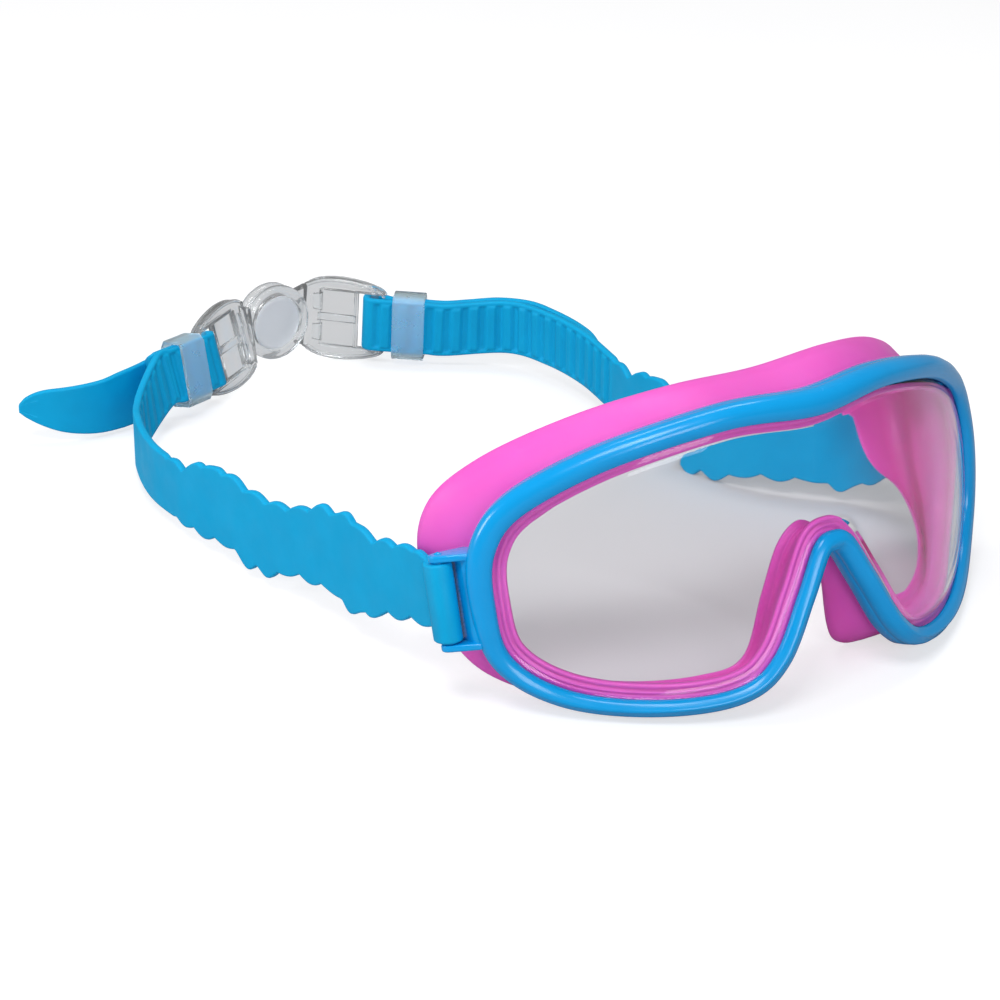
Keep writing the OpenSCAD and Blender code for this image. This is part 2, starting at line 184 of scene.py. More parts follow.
def rot(axis, degrees):
    return np.array(Matrix.Rotation(math.radians(degrees), 3, axis))


def place(points):
    """Points in millimetres from the lens to metres in the row frame."""
    return (np.asarray(points, float) + ORIGIN) * MM


def new_object(name, points, faces, mirror=False):
    points = np.array(points, float)
    if mirror:
        points = points * [-1, 1, 1]
        faces = [tuple(reversed(f)) for f in faces]
    mesh = bpy.data.meshes.new(name)
    mesh.from_pydata(place(points).tolist(), [], [tuple(int(i) for i in f) for f in faces])
    mesh.validate()
    bm = bmesh.new()
    bm.from_mesh(mesh)
    bmesh.ops.recalc_face_normals(bm, faces=bm.faces)
    bm.to_mesh(mesh)
    bm.free()
    mesh.shade_smooth()
    obj = bpy.data.objects.new(name, mesh)
    bpy.context.scene.collection.objects.link(obj)
    return obj


def tube(rings, closed):
    """Faces between rings of points, either closed on themselves or capped at both ends."""
    n, m = rings.shape[0], rings.shape[1]
    faces = []
    for i in range(n if closed else n - 1):
        p, q = i * m, ((i + 1) % n) * m
        faces += [(p + j, q + j, q + (j + 1) % m, p + (j + 1) % m) for j in range(m)]
    if not closed:
        faces += [tuple(range(m)), tuple(range((n - 1) * m, n * m))]
    return faces


def join(name, parts):
    """One object made of several (points, faces) parts, in millimetres."""
    points, faces = [], []
    for part_points, part_faces in parts:
        base = len(points)
        points += [tuple(p) for p in np.asarray(part_points)]
        faces += [tuple(base + i for i in f) for f in part_faces]
    return name, points, faces


def plate_part(outline, holes, thickness, bevel, to_world):
    """A flat plate with rounded edges, drawn in (x, z) and centred on y = 0, as (points, faces)."""
    curve = bpy.data.curves.new("plate", "CURVE")
    curve.dimensions = "2D"
    curve.fill_mode = "BOTH"
    curve.extrude = thickness / 2 - bevel
    curve.bevel_depth = bevel
    curve.bevel_resolution = 3
    curve.offset = -bevel
    for loop in [outline] + list(holes):
        s = curve.splines.new("POLY")
        s.points.add(len(loop) - 1)
        for point, (x, z) in zip(s.points, loop):
            point.co = (x, z, 0, 1)
        s.use_cyclic_u = True
    obj = bpy.data.objects.new("plate", curve)
    bpy.context.scene.collection.objects.link(obj)
    bpy.context.view_layer.update()
    mesh = bpy.data.meshes.new_from_object(obj.evaluated_get(bpy.context.evaluated_depsgraph_get()))
    bpy.data.objects.remove(obj)
    bpy.data.curves.remove(curve)
    bm = bmesh.new()
    bm.from_mesh(mesh)
    bmesh.ops.remove_doubles(bm, verts=bm.verts, dist=1e-4)
    bm.verts.index_update()
    flat = np.array([v.co[:] for v in bm.verts])
    faces = [tuple(v.index for v in f.verts) for f in bm.faces]
    bm.free()
    bpy.data.meshes.remove(mesh)
    return to_world(np.column_stack([flat[:, 0], -flat[:, 2], flat[:, 1]])), faces


def rod_part(path, radius, sides=16):
    """A round rod with domed ends along a list of points, as (points, faces)."""
    path = np.asarray(path, float)
    heading = unit(np.gradient(path, axis=0))
    side = unit(np.cross(heading, [0.31, 0.83, 0.46]))
    up = np.cross(heading, side)
    angles = np.linspace(0, 2 * math.pi, sides, endpoint=False)

    def circle(k, centre, r):
        return centre + r * (np.outer(np.cos(angles), side[k]) + np.outer(np.sin(angles), up[k]))

    def dome(k, end):
        return [circle(k, path[k] + end * heading[k] * radius * math.sin(t), radius * math.cos(t))
                for t in np.radians([80, 55, 28])]

    body = [circle(k, path[k], radius) for k in range(len(path))]
    rings = np.array(dome(0, -1) + body + dome(-1, 1)[::-1])
    return rings.reshape(-1, 3), tube(rings, False)


def lathe_part(profile, to_world, sides=96):
    """A turned solid about the y axis from (radius, y) points, as (points, faces)."""
    angles = np.linspace(0, 2 * math.pi, sides, endpoint=False)
    rings = np.array([[(r * math.cos(a), y, r * math.sin(a)) for a in angles] for r, y in profile])
    return to_world(rings.reshape(-1, 3)), tube(rings, False)


def arc(r, start, end, n):
    return [(r * math.cos(math.radians(a)), r * math.sin(math.radians(a)))
            for a in np.linspace(start, end, n)]


# Materials

def linear(r, g, b):
    return tuple(((c + 0.055) / 1.055) ** 2.4 if c > 0.04045 else c / 12.92 for c in (r, g, b))


class Look:
    """A Principled material with procedural colour, roughness and bump detail."""

    def __init__(self, name, base, roughness, **sockets):
        self.mat = bpy.data.materials.new(name)
        self.mat.use_nodes = True
        self.nodes = self.mat.node_tree.nodes
        self.links = self.mat.node_tree.links
        self.shader = self.nodes["Principled BSDF"]
        self.coords = self.nodes.new("ShaderNodeTexCoord").outputs["Object"]
        self.normal = None
        self.shader.inputs["Base Color"].default_value = (*base, 1)
        self.shader.inputs["Roughness"].default_value = roughness
        for key, value in sockets.items():
            self.shader.inputs[key.replace("_", " ")].default_value = value

    def noise(self, scale, detail=3.0, stretch=(1, 1, 1)):
        mapping = self.nodes.new("ShaderNodeMapping")
        mapping.inputs["Scale"].default_value = stretch
        self.links.new(self.coords, mapping.inputs["Vector"])
        node = self.nodes.new("ShaderNodeTexNoise")
        node.inputs["Scale"].default_value = scale
        node.inputs["Detail"].default_value = detail
        self.links.new(mapping.outputs["Vector"], node.inputs["Vector"])
        return node.outputs["Fac"]

    def ramp(self, value, low, high, at=(0.35, 0.65)):
        node = self.nodes.new("ShaderNodeValToRGB")
        node.color_ramp.elements[0].position, node.color_ramp.elements[1].position = at
        node.color_ramp.elements[0].color = (*low, 1)
        node.color_ramp.elements[1].color = (*high, 1)
        self.links.new(value, node.inputs["Fac"])
        return node.outputs["Color"]

    def colour(self, low, high, scale, detail=3.0):
        self.links.new(self.ramp(self.noise(scale, detail), low, high), self.shader.inputs["Base Color"])
        return self

    def roughness(self, low, high, scale, stretch=(1, 1, 1)):
        node = self.nodes.new("ShaderNodeMapRange")
        node.inputs["From Min"].default_value = 0.3
        node.inputs["From Max"].default_value = 0.7
        node.inputs["To Min"].default_value = low
        node.inputs["To Max"].default_value = high
        self.links.new(self.noise(scale, 4.0, stretch), node.inputs["Value"])
        self.links.new(node.outputs["Result"], self.shader.inputs["Roughness"])
        return self

    def bump(self, scale, strength, distance_mm, detail=2.0, stretch=(1, 1, 1)):
        node = self.nodes.new("ShaderNodeBump")
        node.inputs["Strength"].default_value = strength
        node.inputs["Distance"].default_value = distance_mm * MM
        self.links.new(self.noise(scale, detail, stretch), node.inputs["Height"])
        if self.normal:
            self.links.new(self.normal, node.inputs["Normal"])
        self.normal = node.outputs["Normal"]
        self.links.new(self.normal, self.shader.inputs["Normal"])
        return self

    def arithmetic(self, operation, *inputs):
        """A Math node's result. Each input is either a number or another node's output."""
        node = self.nodes.new("ShaderNodeMath")
        node.operation = operation
        for socket, value in zip(node.inputs, inputs):
            if isinstance(value, float):
                socket.default_value = value
            else:
                self.links.new(value, socket)
        return node.outputs["Value"]

    def clear_shadow(self, tint):
        """Light passes through a clear piece without a caustic, tinted a little."""
        path = self.nodes.new("ShaderNodeLightPath").outputs
        either = self.arithmetic("MAXIMUM", path["Is Shadow Ray"], path["Is Diffuse Ray"])
        through = self.nodes.new("ShaderNodeBsdfTransparent")
        through.inputs["Color"].default_value = (*tint, 1)
        mix = self.nodes.new("ShaderNodeMixShader")
        self.links.new(either, mix.inputs["Fac"])
        self.links.new(self.shader.outputs["BSDF"], mix.inputs[1])
        self.links.new(through.outputs["BSDF"], mix.inputs[2])
        self.links.new(mix.outputs["Shader"], self.nodes["Material Output"].inputs["Surface"])
        return self


def make_looks():
    rim = Look("rim_gloss_blue", linear(0.0, 0.56, 0.83), 0.24, IOR=1.38, Coat_Weight=0.1,
               Coat_Roughness=0.1)
    rim.colour(linear(0.0, 0.6, 0.87), linear(0.0, 0.62, 0.89), 60)
    rim.roughness(0.16, 0.28, 90).bump(900, 0.08, 0.05).bump(45, 0.12, 0.15)

    lens = Look("lens_clear", (0.97, 0.97, 0.98), 0.02, IOR=1.33, Transmission_Weight=1.0)
    lens.roughness(0.02, 0.045, 120).bump(25, 0.02, 0.1).clear_shadow((0.96, 0.96, 0.98))

    skirt = Look("skirt_pink_silicone", linear(0.95, 0.38, 0.8), 0.42, IOR=1.42,
                 Subsurface_Weight=0.3, Subsurface_Scale=0.003, Specular_IOR_Level=0.4)
    skirt.shader.inputs["Subsurface Radius"].default_value = (1.0, 0.35, 0.7)
    skirt.colour(linear(0.93, 0.365, 0.775), linear(0.945, 0.395, 0.8), 40)
    skirt.roughness(0.36, 0.52, 70).bump(1400, 0.12, 0.03).bump(60, 0.1, 0.2)

    strap = Look("strap_matte_blue", linear(0.0, 0.64, 0.83), 0.55, IOR=1.4, Specular_IOR_Level=0.25,
                 Subsurface_Weight=0.1, Subsurface_Scale=0.001)
    strap.shader.inputs["Subsurface Radius"].default_value = (0.2, 0.8, 1.0)
    strap.colour(linear(0.0, 0.635, 0.84), linear(0.0, 0.655, 0.86), 120, 6)
    strap.roughness(0.48, 0.66, 160).bump(2600, 0.3, 0.04, 4).bump(300, 0.12, 0.08)

    keeper = Look("keeper_frosted", (0.8, 0.96, 1.0), 0.3, IOR=1.3, Transmission_Weight=0.85,
                  Subsurface_Weight=0.1, Subsurface_Scale=0.002)
    keeper.roughness(0.24, 0.36, 200).bump(1500, 0.2, 0.03).clear_shadow((0.86, 0.9, 0.95))

    clasp = Look("clasp_clear", (0.97, 0.98, 0.985), 0.05, IOR=1.45, Transmission_Weight=0.94)
    clasp.roughness(0.04, 0.11, 300).bump(160, 0.12, 0.15).clear_shadow((0.93, 0.94, 0.94))

    button = Look("button_frosted", (0.9, 0.93, 0.96), 0.4, IOR=1.45, Transmission_Weight=0.6)
    button.roughness(0.38, 0.54, 500).bump(3000, 0.25, 0.03).clear_shadow((0.9, 0.92, 0.94))
    return {"rim_blue": rim.mat, "lens_clear": lens.mat, "skirt_pink": skirt.mat, "strap_blue": strap.mat,
            "keeper_frost": keeper.mat, "clasp_clear": clasp.mat, "button_frost": button.mat}


LOOKS = make_looks()


def finish_piece(obj, body, slot, *nodes):
    obj.data.materials.append(LOOKS[slot])
    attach(obj, body)
    if nodes:
        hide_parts(*nodes)


# Mask outline

def lens_point(x, z):
    """A point of the lens surface, wrapped round the face and swept back at its lower corners."""
    low = np.minimum(z, 0)
    y = (WRAP * x * x - WRAP_EASE * x ** 4 + LEAN * z - LEAN_EASE * z * z
         + CORNER_SWEEP * (x * low) ** 2)
    return np.stack([x, y, z], axis=-1)


def lens_front(x, z):
    """The forward direction square to the lens surface, from the slopes of lens_point."""
    low = np.minimum(z, 0)
    slope_x = 2 * WRAP * x - 4 * WRAP_EASE * x ** 3 + 2 * CORNER_SWEEP * x * low ** 2
    slope_z = LEAN - 2 * LEAN_EASE * z + 2 * CORNER_SWEEP * x * x * low
    return unit(np.stack([slope_x, -np.ones_like(x), slope_z], axis=-1))


def rim_stations():
    """Arrays along the whole rim: point, outward, front, rim width, skirt back edge, seal width."""
    half = [np.array(r, float) for r in HALF_RIM]
    other = [r * [-1, 1, 1, -1, 1, 1, 1] for r in half[-2:0:-1]]
    rows = closed_curve(half + other, RIM_STEPS)
    p = lens_point(rows[:, 0], rows[:, 1])
    heading = unit(np.roll(p, -1, axis=0) - np.roll(p, 1, axis=0))
    front = lens_front(rows[:, 0], rows[:, 1])
    out = unit(np.cross(front, heading))
    return {"p": p, "out": out, "front": front, "w": rows[:, 2], "edge": rows[:, 3:6],
            "seal": rows[:, 6]}


RIM = rim_stations()


def at_rim(out, front):
    """Points along the rim, so far outward and so far forward of its inner edge."""
    out = np.broadcast_to(out, RIM["w"].shape)[:, None]
    front = np.broadcast_to(front, RIM["w"].shape)[:, None]
    return RIM["p"] + RIM["out"] * out + RIM["front"] * front


def make_rim():
    """The rim's section, from the lens over the crown and down the outside, and the two lugs."""
    w = RIM["w"]
    shape = [(0, LENS_GAP - LENS_SET), (0, -0.75), (0.02, -0.3), (0.18, 0.25), (0.6, 0.72),
             (1.6, 1.18), (w * 0.5, RIM_CROWN), (w - 1.8, 1.12), (w - 0.8, 0.45), (w - 0.2, -0.55),
             (w, -1.6), (w, -2.3), (w - 0.14, -2.5), (w, -2.7), (w, 3 - RIM_DEPTH),
             (w - 0.12, 1.3 - RIM_DEPTH), (w - 0.6, 0.4 - RIM_DEPTH), (w - 1.4, 0.02 - RIM_DEPTH),
             (2.4, -RIM_DEPTH), (1.6, 0.2 - RIM_DEPTH), (1.4, 0.8 - RIM_DEPTH), (1.4, -LENS_SET - 1),
             (1.4, LENS_GAP - LENS_SET)]
    rings = np.stack([at_rim(a, b) for a, b in shape], axis=1)
    parts = [(rings.reshape(-1, 3), tube(rings, True))]
    for side in (1, -1):
        parts += [(p * [side, 1, 1], f) for p, f in lug_parts()]
    finish_piece(new_object(*join("rim", parts)), "mask", "rim_blue", "frame")


def at_lug(p):
    """Points round the right lug's bar, whose z runs along the bar, in the mask's place."""
    return np.asarray(p) @ rot("X", -BAR_LEAN).T + BAR_AT


def lug_parts():
    """Two ears with the web and the bar between them."""
    ear_z = END_HALF_H + EAR_GAP + EAR_T / 2
    outline = arc(2.3, 75, 225, 16) + [(3.2, -6.6), (8.3, -7.6), (8.5, -3.6), (7.2, 0.6)]
    parts = []
    for z in (-ear_z, ear_z):
        # The plate is drawn in (x, z) and laid flat, so that its z becomes the lug's y
        parts.append(plate_part(outline, [], EAR_T, 0.45,
                                lambda p, z=z: at_lug(np.column_stack([p[:, 0], p[:, 2], z - p[:, 1]]))))
    web = [(3.1, -6.2), (8.3, -7.4), (8.5, -3.6), (7.2, 0.6), (4, 1), (3.1, 0.8)]
    parts.append(plate_part(web, [], 2 * ear_z, 0.35,
                            lambda p: at_lug(np.column_stack([p[:, 0], p[:, 2], -p[:, 1]]))))
    bar = [at_lug([0, 0, z]) for z in np.linspace(-ear_z, ear_z, 12)]
    parts.append(rod_part(bar, LUG_BAR_R, 24))
    return parts


def make_lens():
    """Raised face, bevelled step and edge as bands along the rim, and strips across the middle."""
    n = len(RIM["w"])
    chamfer, face = 0.25, -2.35
    bands = [(LENS_TUCK, LENS_T - chamfer), (LENS_TUCK, chamfer), (LENS_TUCK - chamfer, 0.0),
             (-1.3, 0.0), (-1.5, -0.06), (-2.1, -LENS_STEP + 0.06), (face, -LENS_STEP)]
    back = [(LENS_TUCK - chamfer, LENS_T), (face, LENS_T)]
    rows, half, quarter = 18, n // 2, n // 4

    def sheet(x, z, depth):
        return lens_point(x, z) - (LENS_SET + depth) * lens_front(x, z)

    def ring(out, depth):
        edge = at_rim(out, 0)
        return sheet(edge[:, 0], edge[:, 2], depth)

    rings = [ring(a, d) for a, d in back[::-1] + bands]
    points = list(np.concatenate(rings))
    faces = []
    for i in range(len(rings) - 1):
        for j in range(n):
            k = (j + 1) % n
            faces.append((i * n + j, i * n + k, (i + 1) * n + k, (i + 1) * n + j))

    def fill(base, depth):
        """Strips from each point of the upper edge to its partner on the lower edge."""
        edge = at_rim(face, 0)[:, [0, 2]]
        grid = {}
        for c in range(-quarter, quarter + 1):
            top, bottom = c % n, (half - c) % n
            grid[c, 0], grid[c, rows] = base + top, base + bottom
            for v in range(1, rows):
                x, z = (edge[top] + (edge[bottom] - edge[top]) * v / rows)[:, None]
                grid[c, v] = len(points)
                points.append(sheet(x, z, depth)[0])
        for c in range(-quarter, quarter):
            for v in range(rows):
                faces.append((grid[c, v], grid[c + 1, v], grid[c + 1, v + 1], grid[c, v + 1]))

    fill(0, LENS_T)
    fill((len(rings) - 1) * n, -LENS_STEP)
    finish_piece(new_object("lens_sheet", points, faces), "mask", "lens_clear", "lens")


def make_skirt():
    """Lip with its lines behind the lens, wall out to the skirt's edge, face seal and back again."""
    flat = unit(RIM["out"] * [1, 0, 1])
    edge, seal = RIM["edge"], RIM["seal"][:, None]
    lip, back = -LENS_SET - LENS_T - SEAT_GAP, -WALL_BEHIND - RIM_DEPTH
    start = at_rim(WALL_OUT, back)
    inner = at_rim(WALL_OUT - SKIRT_T, back)
    y = np.array([0, 1.0, 0])

    def wall(t, push):
        return start + (edge - start) * t + push * flat

    rings = [at_rim(-LIP_W, lip - 0.25), at_rim(0.2 - LIP_W, lip), at_rim(0.9 - LIP_W, lip),
             at_rim(1.15 - LIP_W, lip - 0.4), at_rim(1.4 - LIP_W, lip), at_rim(2.1 - LIP_W, lip),
             at_rim(2.35 - LIP_W, lip - 0.35), at_rim(2.6 - LIP_W, lip), at_rim(WALL_OUT - 0.2, lip),
             at_rim(WALL_OUT, lip - 0.2), at_rim(WALL_OUT, (lip + back) / 2), start,
             wall(0.15, 0.2), wall(0.35, 0.35), wall(0.55, 0.6), wall(0.75, 0.7), wall(0.92, 0.5),
             edge - 0.05 * flat + 0.1 * y, edge - 0.5 * flat + 0.8 * y, edge - 1.4 * flat + 1.2 * y,
             edge - 0.45 * seal * flat + 1.7 * y, edge - (seal - 1) * flat + 1.95 * y,
             edge - seal * flat + 1.75 * y, edge - (seal + 0.05) * flat + 1.3 * y,
             edge - (seal - 0.5) * flat + 0.95 * y, edge - 0.5 * seal * flat + 0.4 * y,
             edge - 2.2 * flat - 0.7 * y, wall(0.86, 0.1 - SKIRT_T), wall(0.75, 0.7 - SKIRT_T),
             wall(0.55, 0.6 - SKIRT_T), wall(0.35, 0.35 - SKIRT_T), wall(0.15, 0.15 - SKIRT_T), inner,
             at_rim(WALL_OUT - SKIRT_T, lip - 1.9), at_rim(WALL_OUT - 0.4 - SKIRT_T, lip - 1.45),
             at_rim(0.5 - LIP_W, lip - 1.4), at_rim(-LIP_W - 0.05, lip - 1.1)]
    grid = np.stack(rings, axis=1)
    finish_piece(new_object("face_skirt", grid.reshape(-1, 3), tube(grid, True)),
                 "mask", "skirt_pink", "skirt")


# Clasp halves: place, turn and sink of the hub; bend, droop and lean of the wing; offset of the plate

CLASP_AT = np.array([-4.9, 237.7, -21.3])
FRONT_Y = PARTING_Y - CLASP_T / 2
BACK_Y = PARTING_Y + HALF_GAP + CLASP_T / 2
RIGHT_HALF = {"at": CLASP_AT, "turn": 4, "sink": 6, "bend": 25, "droop": 3, "lean": 12, "off": FRONT_Y}
LEFT_HALF = {"at": CLASP_AT * [-1, 1, 1], "turn": -4, "sink": 7, "bend": 48, "droop": 3, "lean": 0,
             "off": BACK_Y}


def hub_place(h):
    turn = rot("Z", h["turn"]) @ rot("Y", -h["sink"])
    return lambda p: (np.asarray(p) + [0, h["off"], 0]) @ turn.T + h["at"]


def wing_place(h):
    turn = rot("Z", h["turn"] + h["bend"]) @ rot("Y", -h["droop"]) @ rot("X", -h["lean"])
    elbow = h["at"] + (rot("Z", h["turn"]) @ rot("Y", -h["sink"])) @ [-HUB_LEN, 0, 0]
    return lambda p: (np.asarray(p) + [0, h["off"], 0]) @ turn.T + elbow


def bar_centre(h):
    return wing_place(h)(np.array([-WING_BAR, 0, 0]))


def bar_up(h):
    put = wing_place(h)
    return unit(put(np.array([0, 0, 1])) - put(np.array([0, 0, 0])))


WING_HALF = [(0.6, 9.2), (-4, 11.4), (-10, 12.1), (-16, 11.5), (-20, 10.5), (-22, 9.6), (-22.8, 8.8)]


def wing_parts(h):
    """Plate round its window, with a rounded border, strap bar, tongue, stop wall, pane and pads."""
    put = wing_place(h)
    top = open_curve(WING_HALF, 5)
    outline = [tuple(p) for p in top] + [(-22.6, 8.4), (-22.2, 8.3), (-4.5, 8.3), (-4.5, -8.3),
                                         (-22.2, -8.3), (-22.6, -8.4)]
    outline += [(x, -z) for x, z in top[::-1]]
    parts = [plate_part(outline, [], CLASP_T, 0.7, put)]
    border = np.array([(x + 0.2, 0, z - 0.55) for x, z in top[2:]])
    for side in (1, -1):
        for y in (-CLASP_T / 2 + 0.35, CLASP_T / 2 - 0.35):
            parts.append(rod_part(put(border * [1, 1, side] + [0, y, 0]), 0.5, 12))
    bar = [put([-WING_BAR, 0, z]) for z in np.linspace(-8.4, 8.4, 14)]
    parts.append(rod_part(bar, BAR_R, 24))
    tongue = [(-3.6, -1.1), (-STOP_AT, -1.1), (-STOP_AT, 1.1), (-3.6, 1.1)]
    parts.append(plate_part(tongue, [], 1.6, 0.4, put))
    wall = [(-STOP_AT - 0.6, -8.6), (-STOP_AT + 0.6, -8.6), (-STOP_AT + 0.6, 8.6), (-STOP_AT - 0.6, 8.6)]
    parts.append(plate_part(wall, [], 1.6, 0.35, put))
    pane = [(-3.9, -8.5), (-STOP_AT, -8.5), (-STOP_AT, 8.5), (-3.9, 8.5)]
    parts.append(plate_part(pane, [], 0.8, 0.15, put))
    for z in (-4.6, 4.6):
        pad = [(-4.9, z - 2.6), (-4.9, z + 2.6), (-2.2, z + 2.2), (-2.2, z - 2.2)]
        parts.append(plate_part(pad, [], CLASP_T - 1.2, 0.3, put))
    return parts


def web_part(h):
    web = [(-HUB_LEN - 0.8, -8.8), (-HUB_LEN + 2.6, -7.6), (-HUB_LEN + 2.6, 7.6), (-HUB_LEN - 0.8, 8.8)]
    return plate_part(web, [], CLASP_T, 0.5, hub_place(h))


def make_clasp():
    """The ring half and its button on the wearer's right, and the disc half on the left."""
    t = CLASP_T / 2
    inner = BUTTON_R + 0.2
    ring = [(inner, -t + 0.4), (inner + 0.25, -t + 0.1), (inner + 0.8, -t), (RING_R - 0.9, -t),
            (RING_R - 0.25, -t + 0.3), (RING_R, -t + 0.95), (RING_R, t - 0.6), (RING_R - 0.4, t - 0.1),
            (RING_R - 1, t), (inner + 0.6, t), (inner + 0.1, t - 0.3), (inner, t - 0.7)]
    ring = closed_curve(ring, 3)
    angles = np.linspace(0, 2 * math.pi, 96, endpoint=False)
    grid = np.array([[(r * math.cos(a), y, r * math.sin(a)) for r, y in ring] for a in angles])
    put = hub_place(RIGHT_HALF)
    parts = [(put(grid.reshape(-1, 3)), tube(grid, True)), web_part(RIGHT_HALF)] + wing_parts(RIGHT_HALF)
    finish_piece(new_object(*join("clasp_ring_half", parts)), "clasp_front", "clasp_clear",
                 "clasp_front_half")

    b = (CLASP_T - 0.6) / 2
    dome = [(0.01, -b - 0.02), (3, -b + 0.02), (5.6, -b + 0.12), (6.3, -b + 0.05), (6.9, -b + 0.1),
            (7.45, -b + 0.35), (BUTTON_R, -b + 0.8), (BUTTON_R, b - 0.3), (7.4, b - 0.05), (6, b), (0.01, b)]
    finish_piece(new_object("clasp_round_button", *lathe_part(dome, put)), "clasp_front", "button_frost",
                 "clasp_button")

    r = RING_R - 0.2
    disc = [(0.01, -t), (r - 1.4, -t), (r - 0.5, -t + 0.2), (r, -t + 0.8), (r, t - 0.7), (r - 0.4, t - 0.15),
            (r - 1.1, t), (r - 2.2, t), (r - 2.5, t - 0.35), (0.01, t - 0.35)]
    parts = [lathe_part(disc, hub_place(LEFT_HALF)), web_part(LEFT_HALF)] + wing_parts(LEFT_HALF)
    finish_piece(new_object(*join("clasp_disc_half", parts), mirror=True), "clasp_back", "clasp_clear",
                 "clasp_back_half")


# Straps

RIGHT_END_DIR = unit([0.94, 0.33, -0.03])
LEFT_END_DIR = unit([0.77, 0.64, 0.04])
LEAN_UP = np.array([0, math.sin(math.radians(BAR_LEAN)), math.cos(math.radians(BAR_LEAN))])
UP = np.array([0, 0, 1.0])


def strap_out(h, heading):
    return -unit(np.cross(heading, bar_up(h)))


def main_end(h, heading):
    return bar_centre(h) - FOLD_R * strap_out(h, heading)


def lengths(p):
    return np.concatenate([[0], np.cumsum(np.linalg.norm(np.diff(p, axis=0), axis=1))])


def along(p, s):
    at = lengths(p)
    return np.stack([np.interp(s, at, p[:, k]) for k in range(3)], axis=-1)


def edge_table(table, s):
    """A smooth edge through the table's points."""
    points = open_curve(table, 8)
    return np.interp(s, points[:, 0], points[:, 1])


def scallop(s):
    wave = SCALLOP_H * (np.abs(np.sin(np.pi * (s - SCALLOP_FROM) / SCALLOP_PITCH)) - 0.5)
    fade = smoothstep((s - SCALLOP_FROM + 2) / 4) * smoothstep((SCALLOP_TO + 2 - s) / 4)
    return wave * fade


def rib(s):
    """Rounded ribs: 1 on a rib's crest and 0 in the groove."""
    phase = np.mod(s / RIB_PITCH, 1)
    return smoothstep((phase - 0.32) / 0.12) * (1 - smoothstep((phase - 0.88) / 0.12))


def main_route(route, h, heading):
    end = main_end(h, heading)
    tail = [end - d * heading for d in (STRAIGHT_LEN, 15, 8, 0)]
    return open_curve(list(map(np.array, route)) + tail, 16)


def tail_start(h, heading):
    """The tail's first points, which close from the fold's width to the strap's next layer."""
    out, end = strap_out(h, heading), main_end(h, heading)
    return [end - d * heading + out * ((LAYER_STEP + 2 * FOLD_R) / 2 if d < 5 else LAYER_STEP)
            for d in (3, 6, 13, 20)]


def laid_tail(path, h, heading):
    """A tail that lies against the strap for its whole length."""
    total = lengths(path)[-1]
    points = list(tail_start(h, heading))
    for d in range(27, 76, 8):
        p, q = along(path, total - d), along(path, total - d - 1)
        points.append(p + (LAYER_STEP + 0.3) * unit(np.cross(unit(q - p), UP)))
    return open_curve(points, 10)


def main_stations(path, h):
    """Stations from the lug to the clasp. The strap leans as the bar does near each end."""
    total = lengths(path)[-1]
    s = np.arange(1, int(total / STEP)) * STEP
    near = np.clip(s / 40, 0, 1)[:, None]
    far = np.clip((s - total + 45) / 25, 0, 1)[:, None]
    at_mask = LEAN_UP + (UP - LEAN_UP) * near
    at_clasp = UP + (bar_up(h) - UP) * far
    width_dir = np.where((s < total / 2)[:, None], at_mask, at_clasp)
    ribbed = smoothstep((s - SCALLOP_TO) / 2)
    return {"p": along(path, s), "w": width_dir,
            "top": edge_table(TOP_EDGE, s) + scallop(s),
            "bottom": edge_table(BOTTOM_EDGE, s) + scallop(s + SCALLOP_PITCH / 2),
            "rib": rib(s) * ribbed, "groove": (1 - rib(s)) * ribbed}


def fold_stations(h, heading):
    out, centre = strap_out(h, heading), bar_centre(h)
    a = np.radians(np.linspace(0, 180, 22))[:, None]
    p = centre + FOLD_R * (heading * np.sin(a) - out * np.cos(a))
    n = len(p)
    return {"p": p, "w": np.tile(bar_up(h), (n, 1)), "top": np.full(n, RIB_HALF_W),
            "bottom": np.full(n, RIB_HALF_W), "rib": np.zeros(n), "groove": np.zeros(n)}


def tail_stations(tail, h):
    """Stations of the tail, which turns upright past the keeper and has a plain, tapered end."""
    total = lengths(tail)[-1]
    s = np.linspace(STEP, total, int(total / STEP))
    turn = np.clip((s - 24) / 16, 0, 1)[:, None]
    left = total - s
    ribbed = smoothstep((left - 30) / 3) * smoothstep((s - 2) / 2)
    return {"p": along(tail, s), "w": bar_up(h) + (UP - bar_up(h)) * turn,
            "top": edge_table(TAIL_TOP, left), "bottom": edge_table(TAIL_BOTTOM, left),
            "rib": rib(s) * ribbed, "groove": (1 - rib(s)) * ribbed}


